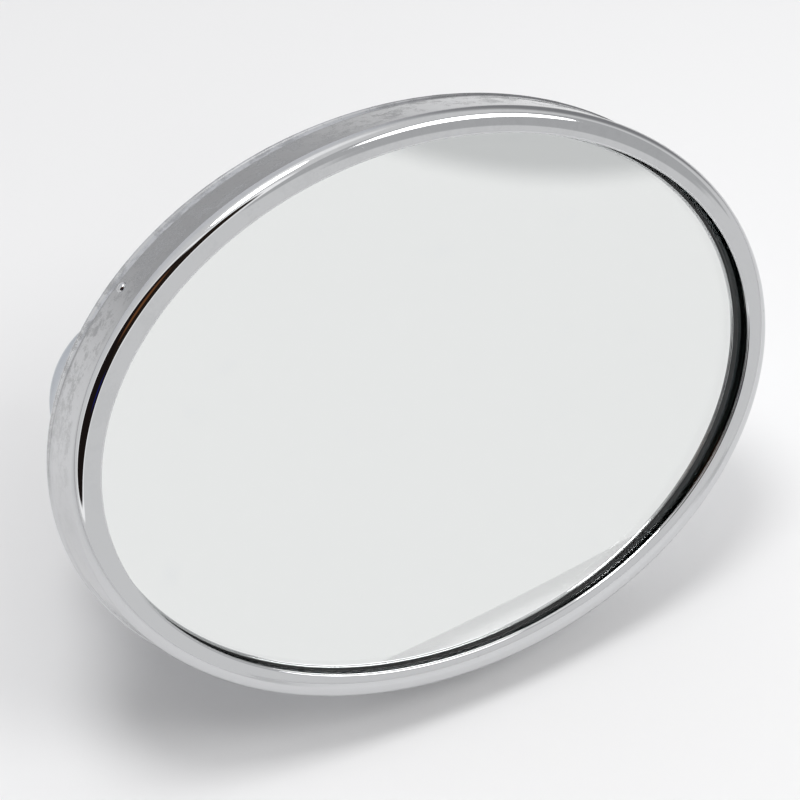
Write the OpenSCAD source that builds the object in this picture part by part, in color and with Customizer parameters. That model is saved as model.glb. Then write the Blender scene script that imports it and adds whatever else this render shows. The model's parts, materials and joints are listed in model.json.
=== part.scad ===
// Oval convex mirror head: a chromed bezel crimped round a pressed back shell, convex second-surface
// glass in a rubber seal, and an off-centre ball joint in a die-cast boss with a threaded stud.
// Millimetres. +Z is up and +X runs along the long axis of the oval. The head leans back, so the
// glass faces forwards, towards -Y, and up, and the stud points backwards and down.
// The origin is on the stud's axis, in the plane where a bracket seats against the flat washer.
// Depths in the head are measured from the front face of the bezel, square to the glass.

/* [Bezel] */
// Half the length of the oval, at the front corner
oval_a = 80; // [70:1:95]
// Half the height of the oval, at the front corner
oval_b = 60; // [54:1:68]
// Depth of the bezel, front face to back edge
rim_depth = 16.4; // [16:0.1:18]
// Width of the bezel's front face
face_w = 5.6; // [5:0.1:7]
// Radius of the corner between face and side wall
corner_r = 2.8; // [2.2:0.1:2.8]
// How far the side wall flares out towards the back
flare = 1.1; // [0.6:0.1:1.4]
// Thickness of the bezel's sheet metal
sheet = 1; // [0.8:0.05:1]

/* [Glass] */
// Radius of curvature of the convex glass
glass_r = 1400; // [1200:50:2400]
// Thickness of the glass
glass_t = 2.5; // [2:0.1:2.6]

/* [Back] */
// Height of the shallow dome of the back shell
dome_h = 6.5; // [5.5:0.1:7]
// Place of the ball joint along the oval's length
boss_x = -51; // [-51:0.5:-36]
// Place of the ball joint along the oval's height
boss_z = 11; // [-10:0.5:11]
// Outer radius of the socket boss
boss_r = 20.6; // [20.4:0.1:21]

/* [Ball joint] */
// How far the head leans back from upright, in degrees
lean = 30.3; // [0:0.1:45]
// Radius of the pivot ball
ball_r = 11; // [10.9:0.05:11]
// Radius of the stud's thread, M8
stud_r = 4; // [4:0.1:4.2]
// Free length of the stud beyond the flat washer
stud_free = 24; // [15:1:40]

/* [Hidden] */
$fn = 64;

gap = 0.05;               // air left between neighbouring pieces
slip = 0.1;               // air left between spheres that slide in each other
around = 96;              // stations round the oval on the bezel
around_soft = 60;         // stations round the oval on the pieces inside it
bead_r = 0.8;             // rolled edge at the back of the bezel
lip_r = sheet / 2;        // rolled inner edge of the bezel's face
crimp_in = 2.2;           // how far the back edge turns in over the shell
crimp_y = rim_depth - sheet + 0.2;   // front surface of the crimp

// Stack of flat pieces behind the bezel's lip
lip_y = sheet;                     // underside of the lip
glass_out = -3;                    // glass edge, from the bezel's front corner
glass_y = lip_y - 0.8;             // middle of the glass, which bulges forward between the lips
coat_t = 0.1;                      // silver, and the paint on it, each
film_gap = 0.03;                   // air left between the glass, the silver and the paint
silver_y = glass_y + glass_t + film_gap;
paint_y = silver_y + coat_t + film_gap;
pad_front = paint_y + coat_t;
board_y = 7.4;                     // front of the backing board
board_t = 1.8;                     // thickness of the backing board
board_out = -1.7;
skirt_y = board_y + board_t + gap; // front edge of the shell's skirt
skirt_t = 1.1;
skirt_out = -0.7;
shell_t = 1.2;
shell_y = crimp_y - gap;           // shoulder of the shell, under the crimp

// Ball joint, along the stud's axis
ball_y = 39;                       // centre of the ball
liner_r = ball_r + 1.5;            // outside of the ball's liner
seat_r = liner_r + slip;           // spherical seats round the liner
bore_r = seat_r + 0.4;             // bore of the boss, in front of the seat
boss_y = ball_y + 11;              // end face of the boss
throat = 7.5;                      // seat's end, from the ball's centre
mouth_r = 12.5;                    // flared mouth at the end face
boss_round = 7.6;                  // rounding of the boss's edge
land_y = 21.5;                     // flat top of the shell's pressed pocket, under the boss
land_t = 1.5;
land_r = boss_r + 1.8;
pocket_t = 1.2;                    // side wall of the pocket
pocket_y = 15;                     // where the pocket's wall leaves the dome
seal_t = 1;
flange_y = land_y + seal_t;        // underside of the boss's flange
flange_t = 2;
flange_r = boss_r + 1;
spigot_r = bore_r + 3.6;           // tube of the boss that passes through the shell
spigot_y = ball_y - 17.5;          // its front end
plate_t = 2;
ring_t = 2;
ring_y = land_y - land_t - ring_t; // front of the reinforcement ring
screw_r = 1.25;                    // M2.5
flange_screw_pcr = spigot_r + 2.2;
thrust_screw_pcr = (bore_r + spigot_r) / 2;
cup_y = ball_y - 12.5;             // front face of the pressure cup
cup_end = ball_y - 5.5;            // rear edge of the cup
wire_r = 0.7;                      // spring wire
spring_r = 8.6;                    // mean radius of the spring
spring_turns = 2.2;
spring_steps = 40;

// Stack of the hardware on the stud, measured from the ball's centre
nut_y = 22.5;                      // front of the jam nut
neck_r = 3;                        // the stud's neck, so that the head can lean
neck_end = 19.5;                   // where the neck ends and the thread starts
nut_t = 6;
nut_af = 13;                       // across flats
lock_t = 1.6;
flat_t = 1.4;
seat_y = nut_y + nut_t + lock_t + flat_t;  // a bracket seats here: the plane of the origin
tip = 0.8;                         // chamfer on the stud's end
pitch_r = stud_r - 0.4;            // the thread's mean radius, where the nut and washers sit on it

rivet_angles = [134, 314];         // places of the rivets round the oval
rivet_y = 10.75;
rivet_r = 1.1;

// ---- shapes that follow the oval ----

function rim_point(t) = [oval_a * cos(t), oval_b * sin(t)];
function rim_normal(t) = let(n = [oval_b * cos(t), oval_a * sin(t)]) n / norm(n);

// A section point s is [share of the way out from the centre, offset outwards, depth].
function place(t, s) = let(q = s[0] * (rim_point(t) + s[1] * rim_normal(t))) [q[0], s[2], q[1]];

// Sag of the convex glass at a section point
function sag(t, share, out) = let(q = norm(share * (rim_point(t) + out * rim_normal(t))))
    glass_r - sqrt(glass_r * glass_r - q * q);

function arc(cu, cy, r, a0, a1, steps) =
    [for (k = [0:steps]) let(a = a0 + (a1 - a0) * k / steps) [1, cu + r * cos(a), cy + r * sin(a)]];

// A closed section carried round the oval
module oval_ring(section, n) {
    m = len(section(0));
    points = [for (i = [0:n - 1]) let(t = 360 * i / n) for (s = section(t)) place(t, s)];
    faces = [for (i = [0:n - 1], j = [0:m - 1]) let(i2 = (i + 1) % n, j2 = (j + 1) % m)
        [i * m + j, i2 * m + j, i2 * m + j2, i * m + j2]];
    polyhedron(points, faces, convexity = 6);
}

// A section that starts and ends on the oval's own axis, carried round it
module oval_solid(section, n) {
    whole = section(0);
    m = len(whole) - 2;
    last = n * m + 1;
    points = concat([place(0, whole[0])],
        [for (i = [0:n - 1]) let(t = 360 * i / n, s = section(t)) for (j = [1:m]) place(t, s[j])],
        [place(0, whole[m + 1])]);
    walls = [for (i = [0:n - 1], j = [0:m - 2]) let(p = 1 + i * m + j, q = 1 + ((i + 1) % n) * m + j)
        [p, q, q + 1, p + 1]];
    front = [for (i = [0:n - 1]) [0, 1 + ((i + 1) % n) * m, 1 + i * m]];
    back = [for (i = [0:n - 1]) [i * m + m, ((i + 1) % n) * m + m, last]];
    polyhedron(points, concat(front, walls, back), convexity = 6);
}

// A sheet that follows the glass, from depth y0 at its middle, t0 thick
function curved_sheet(t, out, y0, t0, steps = 5) = concat(
    [for (k = [0:steps]) [k / steps, out, y0 + sag(t, k / steps, out)]],
    [for (k = [steps:-1:0]) [k / steps, out, y0 + t0 + sag(t, k / steps, out)]]);

// Leans everything back; the ball's centre is seat_y along the stud from the origin
module leaning() { rotate([-lean, 0, 0]) translate([0, -seat_y, 0]) children(); }

// Puts head pieces, drawn round the oval's centre, in the part's frame
module in_head() { leaning() translate([-boss_x, -ball_y, -boss_z]) children(); }

// Puts head pieces, drawn along +Z from the bezel's front, on the boss's axis
module on_boss() { leaning() translate([0, -ball_y, 0]) rotate([-90, 0, 0]) children(); }

// Puts pieces drawn along +Z from the ball's centre on the stud's axis
module on_stud() { leaning() rotate([-90, 0, 0]) children(); }

module ring(r0, r1, y0, y1) {
    translate([0, 0, y0]) difference() {
        cylinder(r = r1, h = y1 - y0);
        translate([0, 0, -1]) cylinder(r = r0, h = y1 - y0 + 2);
    }
}

// Copies a piece round the boss's axis
module around_boss(radius, count) {
    for (k = [0:count - 1]) rotate([0, 0, 360 * k / count + 30]) translate([radius, 0, 0]) children();
}

// ---- bezel and what it holds ----

function bezel_section() = concat(
    arc(-face_w + lip_r, lip_r, lip_r, 90, 270, 6),
    [[1, -corner_r - 1.2, -0.05]],
    arc(-corner_r, corner_r, corner_r, 270, 356, 7),
    [[1, flare - 0.12, rim_depth - 2 * bead_r - 0.4]],
    arc(flare - 0.4, rim_depth - bead_r, bead_r, -40, 90, 5),
    [[1, -crimp_in, rim_depth], [1, -crimp_in, crimp_y], [1, flare - sheet - 0.4, crimp_y],
     [1, -sheet, corner_r + 0.3], [1, -corner_r, lip_y]]);

module bezel() {
    color("silver") in_head() oval_ring(function(t) bezel_section(), around);
}

// U-section rubber round the edge of the glass
module glass_seal() {
    color("black") in_head() oval_ring(function(t)
        let(front = glass_y + sag(t, 1, glass_out), back = front + pad_front - glass_y,
            lip = sag(t, 1, -face_w + 0.6))
        [[1, -face_w + 0.8, lip_y + gap], [1, -corner_r - 0.15, lip_y + gap],
         [1, glass_out + 0.6, corner_r + 0.15], [1, glass_out + 0.6, back + 0.6],
         [1, glass_out - 1.6, back + 0.6],
         [1, glass_out - 1.6, back + gap], [1, glass_out + gap, back + gap],
         [1, glass_out + gap, front - gap], [1, -face_w + 0.8, glass_y + lip - gap / 2]], around_soft);
}

module mirror_glass() {
    color("lightcyan") in_head()
        oval_solid(function(t) curved_sheet(t, glass_out, glass_y, glass_t), around_soft);
}

module silver_coat() {
    color("gainsboro") in_head()
        oval_solid(function(t) curved_sheet(t, glass_out, silver_y, coat_t), around_soft);
}

module backing_paint() {
    color("dimgray") in_head()
        oval_solid(function(t) curved_sheet(t, glass_out, paint_y, coat_t), around_soft);
}

module foam_pad() {
    out = glass_out - 2;
    color("darkslategray") in_head() oval_solid(function(t) concat(
        [for (k = [0:5]) [k / 5, out, pad_front + gap + sag(t, k / 5, out)]],
        [[1, out, board_y], [0, out, board_y]]), around_soft);
}

module backing_board() {
    color("saddlebrown") in_head() oval_solid(function(t)
        [[0, 0, board_y], [1, board_out, board_y], [1, board_out, board_y + board_t],
         [0, 0, board_y + board_t]], around_soft);
}

// ---- back shell ----

function dome_y(share) = shell_y + dome_h * (1 - share * share);

function shell_section() =
    let(dome_out = -crimp_in - 0.4, inner_out = skirt_out - skirt_t)
    concat(
        [for (k = [0:6]) [k / 6, dome_out, dome_y(k / 6) - shell_t]],
        [[1, inner_out, shell_y - shell_t], [1, inner_out, skirt_y], [1, skirt_out, skirt_y],
         [1, skirt_out, shell_y], [1, dome_out + 0.2, shell_y]],
        [for (k = [6:-1:0]) [k / 6, dome_out, dome_y(k / 6)]]);

module back_shell() {
    color("silver") difference() {
        union() {
            in_head() oval_solid(function(t) shell_section(), around_soft);
            on_boss() translate([0, 0, pocket_y]) cylinder(r = land_r, h = land_y - pocket_y);
        }
        on_boss() cylinder(r = land_r - pocket_t, h = land_y - land_t);
        on_boss() cylinder(r = spigot_r + gap, h = flange_y);
        on_boss() around_boss(flange_screw_pcr, 3) cylinder(r = screw_r + gap, h = flange_y);
    }
}

// Small domed rivets through the bezel's wall into the shell's skirt
module rim_rivets() {
    color("silver") in_head() for (t = rivet_angles) {
        wall = flare * (rivet_y - corner_r) / (rim_depth - corner_r);
        n = rim_normal(t);
        translate(place(t, [1, wall - 0.05, rivet_y])) rotate([0, -atan2(n[1], n[0]), 0])
            rotate([0, 90, 0]) intersection() {
                translate([0, 0, -rivet_r * 0.55]) sphere(r = rivet_r * 1.14);
                cylinder(r = rivet_r, h = 1);
            }
    }
}

// ---- ball joint ----

module boss_gasket() {
    color("black") on_boss() difference() {
        ring(spigot_r + gap, flange_r, land_y, flange_y);
        around_boss(flange_screw_pcr, 3) cylinder(r = screw_r + gap, h = flange_y + 1);
    }
}

// Arc round the ball; angles are from the axis's free end
function seat_arc(r, middle, a0, a1, steps) =
    [for (k = [0:steps]) let(a = a0 + (a1 - a0) * k / steps) [r * sin(a), middle + r * cos(a)]];

module socket_housing() {
    throat_a = acos(throat / seat_r);
    edge = [for (k = [0:6]) let(a = 90 * k / 6)
        [boss_r - boss_round + boss_round * cos(a), boss_y - boss_round + boss_round * sin(a)]];
    color("silver") on_boss() difference() {
        rotate_extrude() polygon(concat(
            [[bore_r, spigot_y], [spigot_r, spigot_y], [spigot_r, flange_y], [flange_r, flange_y],
             [flange_r, flange_y + flange_t - 0.6], [flange_r - 0.6, flange_y + flange_t],
             [boss_r, flange_y + flange_t]],
            edge, [[mouth_r, boss_y]], seat_arc(seat_r, ball_y, throat_a, 90, 8), [[bore_r, ball_y]]));
        around_boss(flange_screw_pcr, 3) cylinder(r = screw_r + gap, h = flange_y + 6);
        around_boss(thrust_screw_pcr, 3) cylinder(r = screw_r + gap, h = spigot_y + 6);
    }
}

module reinforcement_ring() {
    color("gray") on_boss() difference() {
        ring(spigot_r + 0.3, land_r - pocket_t - 0.3, ring_y, ring_y + ring_t);
        around_boss(flange_screw_pcr, 3) cylinder(r = screw_r + gap, h = land_y);
    }
}

module screw(head_y, head_t, head_r, tip_y) {
    translate([0, 0, head_y - head_t]) cylinder(r = head_r, h = head_t);
    translate([0, 0, head_y]) cylinder(r = screw_r, h = tip_y - head_y);
}

module flange_screws() {
    color("gray") on_boss() around_boss(flange_screw_pcr, 3) screw(ring_y, 1.5, 2.1, flange_y + 5);
}

module thrust_plate() {
    color("gray") on_boss() difference() {
        ring(5, spigot_r, spigot_y - plate_t, spigot_y);
        around_boss(thrust_screw_pcr, 3) cylinder(r = screw_r + gap, h = spigot_y + 1);
    }
}

module thrust_screws() {
    color("gray") on_boss() around_boss(thrust_screw_pcr, 3)
        screw(spigot_y - plate_t, 0.6, 1.7, spigot_y + 5);
}

// Round wire wound from the thrust plate to the pressure cup
module tension_spring() {
    y0 = spigot_y + wire_r + gap;
    y1 = cup_y - wire_r - gap;
    sides = 8;
    points = [for (i = [0:spring_steps]) let(t = 360 * spring_turns * i / spring_steps,
            y = y0 + (y1 - y0) * i / spring_steps)
        for (j = [0:sides - 1]) let(a = 360 * j / sides, r = spring_r + wire_r * cos(a))
            [r * cos(t), r * sin(t), y + wire_r * sin(a)]];
    walls = [for (i = [0:spring_steps - 1], j = [0:sides - 1]) let(j2 = (j + 1) % sides)
        [i * sides + j, i * sides + j2, (i + 1) * sides + j2, (i + 1) * sides + j]];
    start = [[for (j = [sides - 1:-1:0]) j]];
    end = [[for (j = [0:sides - 1]) spring_steps * sides + j]];
    color("gray") on_boss() polyhedron(points, concat(walls, start, end), convexity = 6);
}

module pressure_cup() {
    rim_a = 180 - acos((ball_y - cup_end) / seat_r);
    inner_a = 180 - 30;
    color("ivory") on_boss() rotate_extrude() polygon(concat(
        [[seat_r * sin(inner_a), cup_y], [bore_r - gap, cup_y], [bore_r - gap, cup_end]],
        seat_arc(seat_r, ball_y, rim_a, inner_a, 6)));
}

// Nylon shell between the ball and its seats, in two halves with a gap round the middle.
// Angles are from the stud's free end.
module liner_shell(a0, a1) {
    rotate_extrude() polygon(concat(
        seat_arc(liner_r, 0, a0, a1, 8), seat_arc(ball_r + slip, 0, a1, a0, 8)));
}

module liner_rear() {
    color("ivory") on_stud() liner_shell(40, 81);
}

module liner_front() {
    color("ivory") on_stud() liner_shell(97, 145);
}

module pivot_ball() {
    color("silver") on_stud() difference() {
        sphere(r = ball_r);
        translate([0, 0, -6]) cylinder(r = neck_r + gap, h = 30);
    }
}

// Neck in the ball, thread under the nut and washers, then the free end that takes a bracket
module ball_stud() {
    color("gray") on_stud() {
        translate([0, 0, -5.9]) cylinder(r = neck_r, h = neck_end + 5.9);
        translate([0, 0, neck_end]) cylinder(r = pitch_r, h = seat_y - neck_end);
        translate([0, 0, seat_y]) cylinder(r = stud_r, h = stud_free - tip);
        translate([0, 0, seat_y + stud_free - tip]) cylinder(r1 = stud_r, r2 = stud_r - tip, h = tip);
    }
}

module jam_nut() {
    color("gray") on_stud() translate([0, 0, nut_y]) difference() {
        cylinder(r = nut_af / sqrt(3), h = nut_t, $fn = 6);
        translate([0, 0, -1]) cylinder(r = pitch_r + gap, h = nut_t + 2);
    }
}

module lock_washer() {
    color("gray") on_stud() difference() {
        ring(stud_r + 0.2, 6.6, nut_y + nut_t, nut_y + nut_t + lock_t);
        translate([0, -0.5, nut_y + nut_t - 1]) cube([8, 1, lock_t + 2]);
    }
}

module flat_washer() {
    color("gray") on_stud() ring(stud_r + 0.2, 8.5, seat_y - flat_t, seat_y);
}

bezel();
glass_seal();
mirror_glass();
silver_coat();
backing_paint();
foam_pad();
backing_board();
back_shell();
rim_rivets();
boss_gasket();
socket_housing();
reinforcement_ring();
flange_screws();
thrust_plate();
thrust_screws();
tension_spring();
pressure_cup();
liner_rear();
liner_front();
pivot_ball();
ball_stud();
jam_nut();
lock_washer();
flat_washer();
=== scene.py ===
"""Looks of an oval convex mirror head: chrome, silvered glass, rubber and bright zinc, in a white studio.

Metres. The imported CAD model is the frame: +Z up, +X along the oval, the glass faces -Y and up, as the
head leans back, and the origin is on the mounting stud. Depths are measured from the bezel's front.
"""

import json
import math

import bpy
from mathutils import Matrix, Vector


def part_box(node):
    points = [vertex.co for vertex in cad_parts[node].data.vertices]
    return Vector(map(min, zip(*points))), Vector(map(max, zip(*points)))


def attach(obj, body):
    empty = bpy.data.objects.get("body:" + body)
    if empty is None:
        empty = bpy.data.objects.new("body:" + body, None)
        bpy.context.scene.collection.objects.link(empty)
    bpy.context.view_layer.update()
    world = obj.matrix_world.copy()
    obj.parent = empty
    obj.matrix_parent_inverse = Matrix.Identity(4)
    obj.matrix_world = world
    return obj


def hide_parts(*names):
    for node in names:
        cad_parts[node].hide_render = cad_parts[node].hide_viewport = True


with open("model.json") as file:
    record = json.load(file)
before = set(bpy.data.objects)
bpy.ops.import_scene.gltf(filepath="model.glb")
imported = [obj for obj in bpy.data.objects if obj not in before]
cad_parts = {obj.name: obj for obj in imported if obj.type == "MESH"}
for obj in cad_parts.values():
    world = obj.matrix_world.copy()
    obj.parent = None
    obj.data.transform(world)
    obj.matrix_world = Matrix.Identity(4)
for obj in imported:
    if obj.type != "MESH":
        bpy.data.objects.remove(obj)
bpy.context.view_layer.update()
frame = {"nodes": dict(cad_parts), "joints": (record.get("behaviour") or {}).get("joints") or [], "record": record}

MM = 0.001

# ---- places and sizes ----

joints = {j["name"]: j for j in frame["joints"]}
BALL = Vector(joints["head_roll"]["pos_m"])
FLOOR_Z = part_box("bezel")[0].z

LEAN = math.radians(30.3)                               # the head leans back from upright
BALL_IN_HEAD = Vector((-51, 39, 11)) * MM               # ball's centre, from the oval's centre
HALF_A, HALF_B = 80 * MM, 60 * MM                       # the oval at the bezel's front corner
RIM_DEPTH = 16.4 * MM
FACE_W = 5.6 * MM
CORNER_R = 2.8 * MM
SHEET = 1.0 * MM
FLARE = 1.1 * MM
BEAD_R = 0.8 * MM
CRIMP_IN = 2.2 * MM
GLASS_R = 1.4
GLASS_T = 2.5 * MM
GLASS_OUT = -3 * MM
GLASS_DEPTH = 0.2 * MM                                  # of the middle of the glass
FILM_GAP = 0.03 * MM
COAT_T = 0.1 * MM
AIR = 0.05 * MM                                         # between neighbouring pieces
RIVET_ANGLES, RIVET_DEPTH = (134, 314), 10.75 * MM
RIVET_R, RIVET_H = 1.3 * MM, 0.75 * MM
DOME_H = 6.5 * MM
LAND_DEPTH = 21.5 * MM
LAND_R = 22.4 * MM
BLEND = 3 * MM                                          # width, round the pocket, into the dome
BLEND_OUT = 1.99 * MM                                   # how far it reaches beyond the land
GASKET_T = 1 * MM
BOSS_R = 20.6 * MM
BOSS_END = 50 * MM
BOSS_ROUND = 7.6 * MM
FLANGE_OUT = 1 * MM                                     # beyond the boss
FLANGE_T = 2 * MM
BALL_R = 11 * MM
SEAT_R = BALL_R + 1.6 * MM                              # spherical seat in the boss
BALL_BACK = -6 * MM                                     # bottom of the bore in the ball
STUD_ROOT, THREAD_START, STUD_TIP = -5.9 * MM, 19.5 * MM, 55.5 * MM    # from the ball's centre
NECK_R, THREAD_R = 3 * MM, 4 * MM
NUT = (22.5 * MM, 28.5 * MM)
FLAT_WASHER = (30.1 * MM, 31.5 * MM)
STATIONS = 320

TURN = Matrix.Rotation(-LEAN, 3, "X")


def head_point(x, depth, z):
    """A point given from the oval's centre, square to the glass, in the part's frame."""
    return BALL + TURN @ (Vector((x, depth, z)) - BALL_IN_HEAD)


# ---- mesh helpers ----

def new_object(name, verts, faces, material, crease=35):
    mesh = bpy.data.meshes.new(name)
    mesh.from_pydata([tuple(v) for v in verts], [], faces)
    mesh.validate()
    mesh.shade_smooth()
    mesh.set_sharp_from_angle(angle=math.radians(crease))
    mesh.materials.append(material)
    obj = bpy.data.objects.new(name, mesh)
    bpy.context.scene.collection.objects.link(obj)
    return obj


def oval(angle, share, out):
    """Point in the oval's plane: share of the way out, then offset along the outline's normal."""
    point = Vector((HALF_A * math.cos(angle), HALF_B * math.sin(angle)))
    normal = Vector((HALF_B * math.cos(angle), HALF_A * math.sin(angle))).normalized()
    return share * (point + out * normal)


def place(angle, share, out, depth):
    """The same point of the oval, at a depth in the head."""
    q = oval(angle, share, out)
    return head_point(q.x, depth, q.y)


def sag(angle, share, out):
    """How far the convex glass falls back from its middle."""
    q = oval(angle, share, out).length
    return GLASS_R - math.sqrt(GLASS_R * GLASS_R - q * q)


def arc(out, depth, radius, start, end, steps):
    """Points of a round stretch of a section, between two angles in degrees."""
    points = []
    for k in range(steps + 1):
        a = math.radians(start + (end - start) * k / steps)
        points.append((out + radius * math.cos(a), depth + radius * math.sin(a)))
    return points


def oval_ring(name, section, material, stations=STATIONS):
    """Carries a closed section, a list of (offset, depth), round the oval."""
    verts, faces = [], []
    m = len(section(0))
    for i in range(stations):
        angle = 2 * math.pi * i / stations
        verts += [place(angle, 1, out, depth) for out, depth in section(angle)]
    for i in range(stations):
        for j in range(m):
            i2, j2 = (i + 1) % stations, (j + 1) % m
            faces.append((i * m + j, i * m + j2, i2 * m + j2, i2 * m + j))
    return new_object(name, verts, faces, material)


def oval_solid(name, section, material, crease):
    """Carries a section that starts and ends on the oval's axis, a list of (share, offset, depth)."""
    whole = section(0)
    m = len(whole) - 2
    verts = [place(0, *whole[0])]
    for i in range(STATIONS):
        angle = 2 * math.pi * i / STATIONS
        verts += [place(angle, *s) for s in section(angle)[1:-1]]
    verts.append(place(0, *whole[-1]))
    last = len(verts) - 1
    faces = []
    for i in range(STATIONS):
        p, q = 1 + i * m, 1 + ((i + 1) % STATIONS) * m
        faces.append((0, p, q))
        faces += [(p + j, p + j + 1, q + j + 1, q + j) for j in range(m - 1)]
        faces.append((p + m - 1, last, q + m - 1))
    return new_object(name, verts, faces, material, crease)


def on_boss(x, depth, z):
    """A point given from the boss's axis, at a depth in the head."""
    return head_point(BALL_IN_HEAD.x + x, depth, BALL_IN_HEAD.z + z)


def on_stud(x, along, z):
    """A point given from the ball's centre, out along the stud."""
    return BALL + TURN @ Vector((x, along, z))


def turned(name, profile, material, axis=on_stud, crease=35):
    """Revolves a closed profile, a list of (radius, distance along the axis)."""
    verts, faces = [], []
    m, steps = len(profile), 128
    for i in range(steps):
        a = 2 * math.pi * i / steps
        verts += [axis(r * math.cos(a), y, r * math.sin(a)) for r, y in profile]
    for i in range(steps):
        for j in range(m):
            i2, j2 = (i + 1) % steps, (j + 1) % m
            faces.append((i * m + j, i * m + j2, i2 * m + j2, i2 * m + j))
    return new_object(name, verts, faces, material, crease)


# ---- materials ----

class Nodes:
    """A material's node tree, with short ways to add to it."""

    def __init__(self, name):
        self.material = bpy.data.materials.new(name)
        self.material.use_nodes = True
        self.tree = self.material.node_tree
        self.shader = self.tree.nodes["Principled BSDF"]
        self.coords = self.tree.nodes.new("ShaderNodeTexCoord")

    def link(self, a, b):
        self.tree.links.new(a, b)

    def set(self, **values):
        for key, value in values.items():
            self.shader.inputs[key.replace("_", " ")].default_value = value

    def noise(self, scale, detail, roughness):
        node = self.tree.nodes.new("ShaderNodeTexNoise")
        node.inputs["Scale"].default_value = scale
        node.inputs["Detail"].default_value = detail
        node.inputs["Roughness"].default_value = roughness
        self.link(self.coords.outputs["Object"], node.inputs["Vector"])
        return node.outputs["Fac"]

    def specks(self, scale, size):
        """Small round spots, 1 inside and 0 outside."""
        node = self.tree.nodes.new("ShaderNodeTexVoronoi")
        node.inputs["Scale"].default_value = scale
        self.link(self.coords.outputs["Object"], node.inputs["Vector"])
        return self.fit(node.outputs["Distance"], size, 0, 0, 1)

    def along(self, axis):
        """Distance along one axis of the part's frame."""
        node = self.tree.nodes.new("ShaderNodeSeparateXYZ")
        self.link(self.coords.outputs["Object"], node.inputs[0])
        return node.outputs[axis]

    def depth(self):
        """Distance behind the bezel's front plane."""
        node = self.tree.nodes.new("ShaderNodeVectorMath")
        node.operation = "DOT_PRODUCT"
        inwards = TURN @ Vector((0, 1, 0))
        node.inputs[1].default_value = inwards
        self.link(self.coords.outputs["Object"], node.inputs[0])
        return self.math("SUBTRACT", node.outputs["Value"], inwards.dot(head_point(0, 0, 0)))

    def fit(self, value, from_low, from_high, low, high):
        """Carries a value from one range to another, and holds it there."""
        node = self.tree.nodes.new("ShaderNodeMapRange")
        ends = {"From Min": from_low, "From Max": from_high, "To Min": low, "To Max": high}
        for key, number in ends.items():
            node.inputs[key].default_value = number
        self.link(value, node.inputs["Value"])
        return node.outputs["Result"]

    def math(self, kind, a, b):
        node = self.tree.nodes.new("ShaderNodeMath")
        node.operation = kind
        for socket, value in zip(node.inputs, (a, b)):
            if isinstance(value, (int, float)):
                socket.default_value = value
            else:
                self.link(value, socket)
        return node.outputs["Value"]

    def mix(self, factor, a, b):
        node = self.tree.nodes.new("ShaderNodeMix")
        node.data_type = "RGBA"
        node.inputs["A"].default_value = (*a, 1)
        node.inputs["B"].default_value = (*b, 1)
        self.link(factor, node.inputs["Factor"])
        return node.outputs["Result"]

    def bump(self, height, distance):
        node = self.tree.nodes.new("ShaderNodeBump")
        node.inputs["Distance"].default_value = distance
        node.inputs["Strength"].default_value = 1.0
        self.link(height, node.inputs["Height"])
        self.link(node.outputs["Normal"], self.shader.inputs["Normal"])

    def to(self, key, value):
        self.link(value, self.shader.inputs[key])


def chrome(name, tint, haze=0.12, stain=0.93, wall_only=False):
    """Plate with a faint ripple, fine pits and clouded patches, thinned out off the upper side wall."""
    n = Nodes(name)
    n.set(Metallic=1.0)
    cloud = n.fit(n.noise(scale=150, detail=8, roughness=0.85), 0.48, 0.56, 0, 1)
    if wall_only:
        middle = head_point(0, 0, 0).z
        cloud = n.math("MULTIPLY", cloud, n.fit(n.depth(), 3.2 * MM, 5 * MM, 0.12, 1))
        cloud = n.math("MULTIPLY", cloud, n.fit(n.along("Z"), middle, middle + 25 * MM, 0.2, 1))
    pits = n.specks(scale=160, size=0.05)
    marks = n.math("MAXIMUM", cloud, pits)
    n.to("Base Color", n.mix(marks, tint, [c * stain for c in tint]))
    n.to("Roughness", n.fit(marks, 0, 1, 0.035, 0.035 + haze))
    wave = n.math("ADD", n.noise(scale=35, detail=2, roughness=0.4), n.math("MULTIPLY", pits, -0.5))
    n.bump(wave, 0.02 * MM)
    return n.material


def zinc(name, tint):
    """Bright plated steel with a fine grain and dull stains."""
    n = Nodes(name)
    n.set(Metallic=1.0)
    grain = n.noise(scale=700, detail=3, roughness=0.6)
    stain = n.fit(n.noise(scale=140, detail=4, roughness=0.6), 0.4, 0.75, 0, 1)
    n.to("Base Color", n.mix(stain, tint, [tint[0] * 0.82, tint[1] * 0.8, tint[2] * 0.76]))
    n.to("Roughness", n.fit(grain, 0.3, 0.7, 0.2, 0.4))
    n.bump(grain, 0.01 * MM)
    return n.material


def plain(name, dark, light, rough, scale, relief):
    """Rubber, foam, board, paint and nylon: two mixed tones and a fine grain."""
    n = Nodes(name)
    n.set(Metallic=0.0)
    tone = n.noise(scale, detail=5, roughness=0.65)
    n.to("Base Color", n.mix(tone, dark, light))
    n.to("Roughness", n.fit(tone, 0.3, 0.7, rough, min(1.0, rough + 0.15)))
    n.bump(tone, relief)
    return n.material


def clear_glass():
    """Nearly colourless glass with faint smears."""
    n = Nodes("clear_glass")
    n.set(Base_Color=(0.985, 0.992, 0.99, 1), IOR=1.52, Transmission_Weight=1.0)
    smear = n.fit(n.noise(scale=25, detail=5, roughness=0.6), 0.5, 0.8, 0.0, 0.012)
    n.to("Roughness", smear)
    return n.material


def silvering():
    """The mirror film, a little aged in places."""
    n = Nodes("silvering")
    n.set(Metallic=1.0)
    age = n.fit(n.noise(scale=60, detail=6, roughness=0.7), 0.6, 0.8, 0, 1)
    n.to("Base Color", n.mix(age, (0.97, 0.97, 0.965), (0.93, 0.935, 0.94)))
    n.to("Roughness", n.fit(age, 0, 1, 0.0, 0.03))
    return n.material


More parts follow.
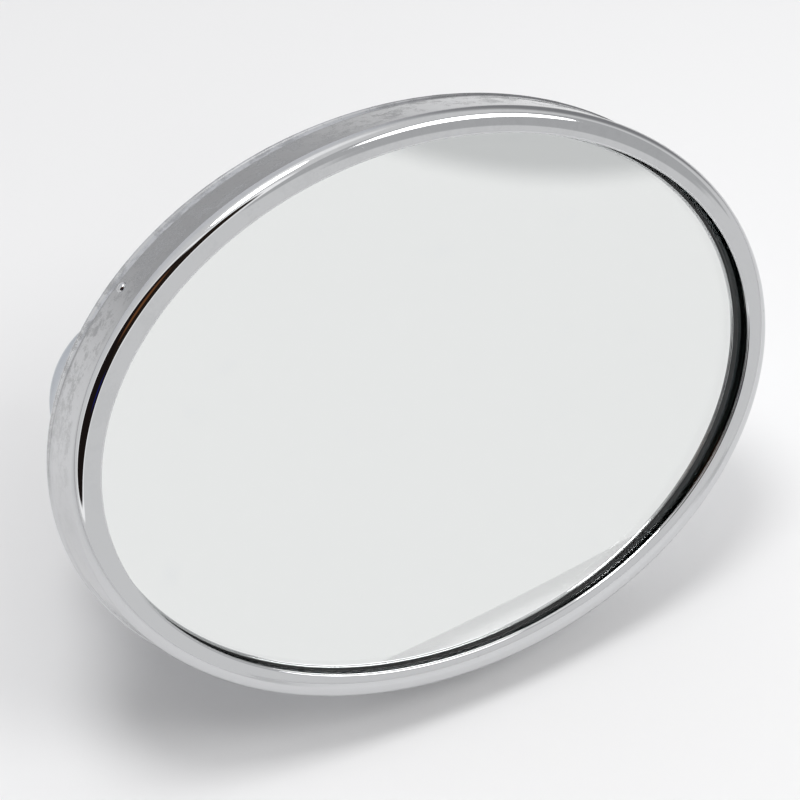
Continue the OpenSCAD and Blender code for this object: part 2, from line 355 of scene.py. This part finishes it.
MATERIALS = {
    "chrome_bezel": chrome("chrome_bezel", (0.62, 0.625, 0.635), haze=0.25, stain=0.7, wall_only=True),
    "chrome_shell": chrome("chrome_shell", (0.58, 0.59, 0.61), haze=0.1),
    # The boss's chrome is darker and bluer than the shell's, though it is the same plate: painted shade, tinted
    # blue.
    "chrome_boss": chrome("chrome_boss", (0.37, 0.4, 0.45), haze=0.1),
    "polished_ball": chrome("polished_ball", (0.6, 0.6, 0.62)),
    "clear_glass": clear_glass(),
    "silvering": silvering(),
    # darker tone, lighter tone, roughness, scale of the grain and its relief
    "black_rubber": plain(
        "black_rubber", (0.008, 0.018, 0.02), (0.02, 0.036, 0.038), 0.45, 400, 0.02 * MM),
    "grey_paint": plain("grey_paint", (0.08, 0.085, 0.09), (0.13, 0.135, 0.14), 0.6, 300, 0.02 * MM),
    "foam": plain("foam", (0.01, 0.01, 0.011), (0.03, 0.03, 0.032), 0.9, 900, 0.1 * MM),
    "hardboard": plain("hardboard", (0.1, 0.05, 0.02), (0.2, 0.11, 0.05), 0.75, 250, 0.05 * MM),
    "nylon": plain("nylon", (0.72, 0.69, 0.58), (0.8, 0.78, 0.68), 0.35, 200, 0.01 * MM),
    "zinc_steel": zinc("zinc_steel", (0.62, 0.63, 0.64)),
    "spring_steel": zinc("spring_steel", (0.25, 0.26, 0.27)),
}


def part_of(obj, body, slot, *nodes):
    """Says which body a piece moves with, and hides the CAD nodes it stands for; slot, the finish, is not used."""
    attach(obj, body)
    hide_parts(*nodes)


# ---- the bezel ----

def bezel_section(angle):
    """Rolled lip, crowned face, round corner, flared wall, beaded edge and crimp, the same all round."""
    lip_r = SHEET / 2
    crimp_y = RIM_DEPTH - SHEET + 0.2 * MM
    crown = [(-4.6 * MM, -0.07 * MM), (-4.0 * MM, -0.07 * MM), (-3.4 * MM, -0.045 * MM)]
    wall_end = RIM_DEPTH - 2 * BEAD_R
    wall = [(0.9 * FLARE * k / 6, CORNER_R + (wall_end - CORNER_R) * k / 6) for k in range(1, 6)]
    outside = (
        arc(-FACE_W + lip_r, lip_r, lip_r, 90, 270, 16)
        + crown
        + arc(-CORNER_R, CORNER_R, CORNER_R, 270, 356, 22)
        + wall
        + [(FLARE - 0.12 * MM, wall_end - 0.25 * MM)]
        + arc(FLARE - 0.4 * MM, RIM_DEPTH - BEAD_R, BEAD_R, -50, 90, 12)
    )
    inside = [
        (-CRIMP_IN, RIM_DEPTH), (-CRIMP_IN, crimp_y), (FLARE - SHEET - 0.4 * MM, crimp_y),
        (-SHEET, CORNER_R + 0.3 * MM), (-CORNER_R, SHEET),
    ]
    return outside + inside


def make_bezel():
    """The chromed frame round the glass, rolled from one sheet."""
    bezel = oval_ring("bezel_plate", bezel_section, MATERIALS["chrome_bezel"])
    part_of(bezel, "head", "chrome_bezel", "bezel")


def make_seal():
    """U-section rubber round the glass, with a thin tongue under the bezel's lip."""
    behind = GLASS_DEPTH + GLASS_T + 2 * FILM_GAP + 2 * COAT_T
    tongue, edge = -FACE_W + 1.4 * MM, GLASS_OUT + AIR
    outer, inner, wall = GLASS_OUT + 0.6 * MM, GLASS_OUT - 1.6 * MM, 0.55 * MM
    off_corner = 0.15 * MM

    def section(angle):
        front = GLASS_DEPTH + sag(angle, 1, GLASS_OUT) - AIR
        back = behind + sag(angle, 1, GLASS_OUT) + AIR
        return [
            (tongue, SHEET + AIR), (-CORNER_R - off_corner, SHEET + AIR), (outer, CORNER_R + off_corner),
            (outer, back + wall), (inner, back + wall), (inner, back), (edge, back),
            (edge, front), (tongue, GLASS_DEPTH + sag(angle, 1, tongue) - AIR),
        ]
    seal = oval_ring("seal_rubber", section, MATERIALS["black_rubber"], 240)
    part_of(seal, "head", "black_rubber", "glass_seal")


# ---- the glass ----

def curved_sheet(name, out, depth, thickness, material):
    """A sheet with both sides curved like the glass, given by its edge and the depth of its middle."""
    rows = 28

    def section(angle):
        front = [(k / rows, out, depth + sag(angle, k / rows, out)) for k in range(rows + 1)]
        return front + [(s, o, y + thickness) for s, o, y in reversed(front)]
    return oval_solid(name, section, material, crease=60)


def make_glass():
    """The clear pane, and the silver close behind it."""
    glass = curved_sheet("glass_pane", GLASS_OUT, GLASS_DEPTH, GLASS_T, MATERIALS["clear_glass"])
    part_of(glass, "head", "clear_glass", "mirror_glass")
    behind = GLASS_DEPTH + GLASS_T + FILM_GAP
    silver = curved_sheet("silver_film", GLASS_OUT, behind, COAT_T, MATERIALS["silvering"])
    part_of(silver, "head", "silvering", "silver_coat")


# ---- the back ----

def shell_depth(x, z):
    """Depth of the shell's outside: a shallow dome, blended into a flat-topped pocket at the boss."""
    inset, below_rim = CRIMP_IN + 0.4 * MM, 0.85 * MM
    share = min(1.0, math.hypot(x / (HALF_A - inset), z / (HALF_B - inset)))
    dome = RIM_DEPTH - below_rim + DOME_H * (1 - share * share)
    away = math.hypot(x - BALL_IN_HEAD.x, z - BALL_IN_HEAD.z)
    lift = min(1.0, max(0.0, (LAND_R + BLEND_OUT - away) / BLEND))
    smooth = lift * lift * (3 - 2 * lift)
    return dome + (LAND_DEPTH - dome) * smooth


def make_shell():
    """The shell's outside is one skin; its underside follows a millimetre in front of it."""
    rows = 90
    out = -CRIMP_IN - 0.1 * MM

    def section(angle):
        skin = []
        for k in range(rows + 1):
            q = oval(angle, k / rows, out)
            skin.append((k / rows, out, shell_depth(q.x, q.y)))
        under = [(s, o, y - SHEET) for s, o, y in skin]
        return under + list(reversed(skin))
    shell = oval_solid("shell_skin", section, MATERIALS["chrome_shell"], crease=50)
    part_of(shell, "head", "chrome_shell", "back_shell")


def make_boss():
    """The die-cast boss, with its rounded end, spherical seat and flared mouth."""
    middle = BALL_IN_HEAD.y
    spigot_start = middle - 17.5 * MM
    bore_r, spigot_r, mouth_r = SEAT_R + 0.4 * MM, SEAT_R + 4 * MM, 12.5 * MM
    seat_end, lip = 7.5 * MM, 0.4 * MM
    under, over = LAND_DEPTH + GASKET_T, LAND_DEPTH + GASKET_T + FLANGE_T
    flange_r, soft = BOSS_R + FLANGE_OUT, 0.3 * MM
    profile = [
        (bore_r, spigot_start), (spigot_r, spigot_start), (spigot_r, under),
        (flange_r - soft, under), (flange_r, under + soft), (flange_r, over - 0.5 * MM),
        (flange_r - 0.4 * MM, over), (BOSS_R + 0.2 * MM, over + 0.1 * MM), (BOSS_R, over + 0.4 * MM),
    ]
    profile += arc(BOSS_R - BOSS_ROUND, BOSS_END - BOSS_ROUND, BOSS_ROUND, 0, 90, 24)
    profile += [(mouth_r + lip / 2, BOSS_END - lip / 4), (mouth_r - 0.1 * MM, BOSS_END - lip)]
    seat_from = math.degrees(math.asin(seat_end / SEAT_R))
    profile += arc(0, middle, SEAT_R, seat_from, 0, 16)
    profile.append((bore_r, middle))
    boss = turned("boss_casting", profile, MATERIALS["chrome_boss"], on_boss, crease=40)
    part_of(boss, "head", "chrome_boss", "socket_housing")


def make_gasket():
    """A flat ring with a rounded edge, between the shell and the boss."""
    low, high = LAND_DEPTH, LAND_DEPTH + GASKET_T
    outer, inner, soft = BOSS_R + FLANGE_OUT, BALL_R + 5.65 * MM, 0.3 * MM
    profile = [(inner, low)]
    profile += arc(outer - soft, low + soft, soft, 270, 360, 4)
    profile += arc(outer - soft, high - soft, soft, 0, 90, 4)
    profile += [(inner, high)]
    gasket = turned("boss_seal", profile, MATERIALS["black_rubber"], on_boss)
    part_of(gasket, "head", "black_rubber", "boss_gasket")


def make_ball():
    """The polished ball, bored for the stud's neck."""
    bore = NECK_R + AIR
    mouth = math.degrees(math.acos(bore / BALL_R))
    profile = [(0.0, BALL_BACK), (bore, BALL_BACK)] + arc(0, 0, BALL_R, mouth, -90, 48)
    ball = turned("ball_polished", profile, MATERIALS["polished_ball"])
    part_of(ball, "stud", "polished_ball", "pivot_ball")


def make_rivets():
    """Low domes where the bezel is riveted to the shell."""
    for number, angle in enumerate(RIVET_ANGLES):
        t = math.radians(angle)
        normal = TURN @ Vector((HALF_B * math.cos(t), 0, HALF_A * math.sin(t))).normalized()
        side = TURN @ Vector((0, 1, 0))
        along = normal.cross(side)
        wall = FLARE * (RIVET_DEPTH - CORNER_R) / (RIM_DEPTH - CORNER_R)
        sunk = 0.08 * MM
        middle = place(t, 1, wall - sunk, RIVET_DEPTH)
        verts, faces, rings, steps = [middle + normal * RIVET_H], [], 10, 40
        for k in range(1, rings + 1):
            share = k / rings
            radius = RIVET_R * share
            height = RIVET_H * math.sqrt(max(0.0, 1 - share ** 2.4))
            for i in range(steps):
                a = 2 * math.pi * i / steps
                around = math.cos(a) * side + math.sin(a) * along
                verts.append(middle + radius * around + normal * height)
        for i in range(steps):
            faces.append((0, 1 + i, 1 + (i + 1) % steps))
        for k in range(rings - 1):
            for i in range(steps):
                p, q = 1 + k * steps, 1 + (k + 1) * steps
                i2 = (i + 1) % steps
                faces.append((p + i, q + i, q + i2, p + i2))
        rivet = new_object(f"rivet_{number}", verts, faces, MATERIALS["chrome_bezel"], 60)
        part_of(rivet, "head", "chrome_bezel", "rim_rivets")


# ---- the stud and its hardware ----

def make_stud():
    """A neck that goes into the ball, then a rolled thread out to a chamfered tip."""
    pitch, depth, chamfer, shoulder = 1.25 * MM, 0.62 * MM, 0.8 * MM, 0.5 * MM
    slope, crest_flat = 1.25, 0.15
    steps, per_pitch = 48, 10
    count = int((STUD_TIP - THREAD_START) / pitch * per_pitch)
    rows = [STUD_ROOT, THREAD_START - 0.05 * MM]
    rows += [THREAD_START + (STUD_TIP - THREAD_START) * k / count for k in range(count + 1)]
    verts, faces = [], []
    for y in rows:
        run = y - THREAD_START
        for i in range(steps):
            phase = (run / pitch + i / steps) % 1.0
            run_in = min(1.0, max(0.0, run) / pitch)
            groove = depth * max(0.0, abs(2 * phase - 1) * slope - crest_flat) * run_in
            crest = min(NECK_R + shoulder + run, THREAD_R - max(0.0, y - (STUD_TIP - chamfer)))
            r = NECK_R if run < 0 else min(crest, THREAD_R - groove)
            a = 2 * math.pi * i / steps
            verts.append(on_stud(r * math.cos(a), y, r * math.sin(a)))
    for k in range(len(rows) - 1):
        for i in range(steps):
            i2 = (i + 1) % steps
            faces.append((k * steps + i, (k + 1) * steps + i, (k + 1) * steps + i2, k * steps + i2))
    faces.append(tuple(range(steps)))
    faces.append(tuple(reversed(range((len(rows) - 1) * steps, len(rows) * steps))))
    stud = new_object("stud_thread", verts, faces, MATERIALS["zinc_steel"], 60)
    part_of(stud, "stud", "zinc_steel", "ball_stud")


def make_nut():
    """A hexagon with its corners chamfered by a cone on both faces."""
    low, high = NUT
    flat, bore, steps, rows = 6.5 * MM, 3.65 * MM, 144, 14
    cone_start, cone_slope, corner_cut = 0.99 * flat, 1.75, 0.985
    verts, faces = [], []
    for j in range(rows + 1):
        share = j / rows
        y = low + (high - low) * share
        from_face = min(share, 1 - share) * (high - low)
        cone = cone_start + from_face * cone_slope
        for i in range(steps):
            a = 2 * math.pi * i / steps
            corner = (a + math.pi / 6) % (math.pi / 3) - math.pi / 6
            hexagon = flat / math.cos(corner)
            r = min(hexagon, cone, flat / math.cos(math.pi / 6) * corner_cut)
            verts.append(on_stud(r * math.sin(a), y, r * math.cos(a)))
    outer = (rows + 1) * steps
    for y in (low, high):
        for i in range(steps):
            a = 2 * math.pi * i / steps
            verts.append(on_stud(bore * math.sin(a), y, bore * math.cos(a)))
    for i in range(steps):
        i2 = (i + 1) % steps
        for j in range(rows):
            faces.append((j * steps + i, j * steps + i2, (j + 1) * steps + i2, (j + 1) * steps + i))
        top = rows * steps
        faces.append((i2, i, outer + i, outer + i2))
        faces.append((top + i, top + i2, outer + steps + i2, outer + steps + i))
        faces.append((outer + i, outer + i2, outer + steps + i2, outer + steps + i))
    nut = new_object("nut_hexagon", verts, faces, MATERIALS["zinc_steel"], 20)
    part_of(nut, "stud", "zinc_steel", "jam_nut")


def make_flat_washer():
    """A punched washer with softened outer edges."""
    low, high = FLAT_WASHER
    inner, outer, soft = 4.2 * MM, 8.5 * MM, 0.3 * MM
    near, far = outer - soft, outer - 0.3 * soft
    profile = [
        (inner, low), (near, low), (far, low + 0.3 * soft), (outer, low + soft),
        (outer, high - soft), (far, high - 0.3 * soft), (near, high), (inner, high),
    ]
    part_of(turned("washer_flat", profile, MATERIALS["zinc_steel"]), "stud", "zinc_steel", "flat_washer")


def dress_cad():
    """Gives every CAD node that is still shown its own material."""
    slots = {s["node"]: s["material_slot"] for s in frame["record"]["subparts"]}
    for node, obj in frame["nodes"].items():
        for held in obj.material_slots:
            held.material = MATERIALS[slots[node]]


# ---- studio ----

CAMERA_OFFSET = Vector((-140.1, -246.9, 300.7)) * MM    # from the middle of the glass
CAMERA_FORWARD = Vector((0.3196, 0.6104, -0.7250))
CAMERA_RIGHT = Vector((0.8859, -0.4639, 0.0))


def make_camera():
    """A 90 mm lens, level, above and to the left of the glass."""
    data = bpy.data.cameras.new("camera")
    data.lens, data.sensor_width = 90, 36
    camera = bpy.data.objects.new("camera", data)
    bpy.context.scene.collection.objects.link(camera)
    forward = CAMERA_FORWARD.normalized()
    right = (CAMERA_RIGHT - forward * CAMERA_RIGHT.dot(forward)).normalized()
    up = right.cross(forward)
    basis = Matrix((right, up, -forward)).transposed().to_4x4()
    camera.matrix_world = Matrix.Translation(head_point(0, 0, 0) + CAMERA_OFFSET) @ basis
    bpy.context.scene.camera = camera


def make_floor():
    """Pale paper with painted shade that darkens it towards the back, and a faint painted glow well in front for
    the glass to see.
    """
    shade_starts_at, shade_full_at = -0.35, 0.95
    glow_starts, glow_full, glow = -0.45, -1.2, 0.085
    n = Nodes("floor_paper")
    n.set(Roughness=0.9)
    y = n.along("Y")
    # Painted shade: the paper's colour darkens from front to back in place of light falling off.
    far = n.fit(y, shade_starts_at, shade_full_at, 0, 1)
    fibres = n.fit(n.noise(scale=3, detail=2, roughness=0.5), 0.3, 0.7, 0, 0.03)
    n.to("Base Color", n.mix(n.math("ADD", far, fibres), (0.95, 0.95, 0.952), (0.66, 0.66, 0.665)))
    # Painted light: the paper glows faintly in front, though it is no lamp.
    n.set(Emission_Color=(1, 1, 1, 1))
    n.to("Emission Strength", n.fit(y, glow_starts, glow_full, 0, glow))
    half, steps = 10, 20
    verts = [(half * (2 * i / steps - 1), half * (2 * k / steps - 1), FLOOR_Z)
             for k in range(steps + 1) for i in range(steps + 1)]
    row = steps + 1
    faces = [(k * row + i, k * row + i + 1, (k + 1) * row + i + 1, (k + 1) * row + i)
             for k in range(steps) for i in range(steps)]
    new_object("floor", verts, faces, n.material)


def world_spot(tree, direction, inner, outer, base, value):
    """Blends a colour into the sky round a direction. Angles are in degrees."""
    nodes, links = tree.nodes, tree.links
    dot = nodes.new("ShaderNodeVectorMath")
    dot.operation = "DOT_PRODUCT"
    dot.inputs[1].default_value = Vector(direction).normalized()
    links.new(tree.nodes["sky"].outputs["Generated"], dot.inputs[0])
    fade = nodes.new("ShaderNodeMapRange")
    fade.interpolation_type = "SMOOTHSTEP"
    fade.inputs["From Min"].default_value = math.cos(math.radians(outer))
    fade.inputs["From Max"].default_value = math.cos(math.radians(inner))
    links.new(dot.outputs["Value"], fade.inputs["Value"])
    mix = nodes.new("ShaderNodeMix")
    mix.data_type = "RGBA"
    mix.inputs["B"].default_value = (*value, 1)
    links.new(fade.outputs["Result"], mix.inputs["Factor"])
    links.new(base, mix.inputs["A"])
    return mix.outputs["Result"]


SKY_BASE = (0.84, 0.842, 0.845)
SKY_SPOTS = [
    # direction, full within, none beyond (degrees), colour
    ((0.0, 0.95, 0.1), 15, 60, (0.74, 0.75, 0.78)),
    ((0.85, 0.55, 0.15), 18, 42, (0.3, 0.3, 0.31)),
    ((0.1, 0.35, 0.9), 8, 20, (1.2, 1.2, 1.2)),
    ((0.567, -0.547, 0.616), 25.8, 27.2, (0.57, 0.575, 0.58)),
    ((-0.65, -0.35, 0.65), 36, 38, (1.3, 1.3, 1.3)),
    ((-0.2, -0.5, 0.84), 21, 23, (1.3, 1.3, 1.3)),
    ((-0.65, -0.35, 0.65), 31, 34, (0.014, 0.010, 0.009)),
    ((-0.2, -0.5, 0.84), 16, 18, (0.02, 0.014, 0.01)),
    ((-0.4, -0.3, 0.86), 3, 10, (0.2, 0.08, 0.03)),
    ((-0.5, -0.6, 0.62), 2, 5, (0.01, 0.015, 0.14)),
]


def make_world():
    """An even pale sky, with round cards in it that the chrome reflects."""
    world = bpy.data.worlds.new("studio")
    world.use_nodes = True
    tree = world.node_tree
    coords = tree.nodes.new("ShaderNodeTexCoord")
    coords.name = "sky"
    base = tree.nodes.new("ShaderNodeRGB")
    base.outputs[0].default_value = (*SKY_BASE, 1)
    colour = base.outputs[0]
    for direction, inner, outer, value in SKY_SPOTS:
        colour = world_spot(tree, direction, inner, outer, colour, value)
    tree.links.new(colour, tree.nodes["Background"].inputs["Color"])
    bpy.context.scene.world = world


def area_light(name, offset, target, size, power):
    """A round soft light, placed from the middle of the glass. Metres and watts."""
    place_at = head_point(0, 0, 0) + Vector(offset)
    data = bpy.data.lights.new(name, "AREA")
    data.shape = "DISK"
    data.size = size
    data.energy = power
    lamp = bpy.data.objects.new(name, data)
    bpy.context.scene.collection.objects.link(lamp)
    lamp.location = place_at
    lamp.rotation_mode = "QUATERNION"
    lamp.rotation_quaternion = (target - place_at).to_track_quat("-Z", "Y")


make_camera()
make_bezel()
make_seal()
make_glass()
make_shell()
make_boss()
make_gasket()
make_ball()
make_rivets()
make_stud()
make_nut()
make_flat_washer()
dress_cad()
make_floor()
make_world()
area_light("key", (-0.05, 0.18, 1.0), head_point(0, 0, 0), size=0.36, power=3.4)
area_light("fill", (0.55, -0.5, 0.8), head_point(0, -150 * MM, -60 * MM), size=0.5, power=2.7)
bpy.context.scene.view_settings.view_transform = "Standard"
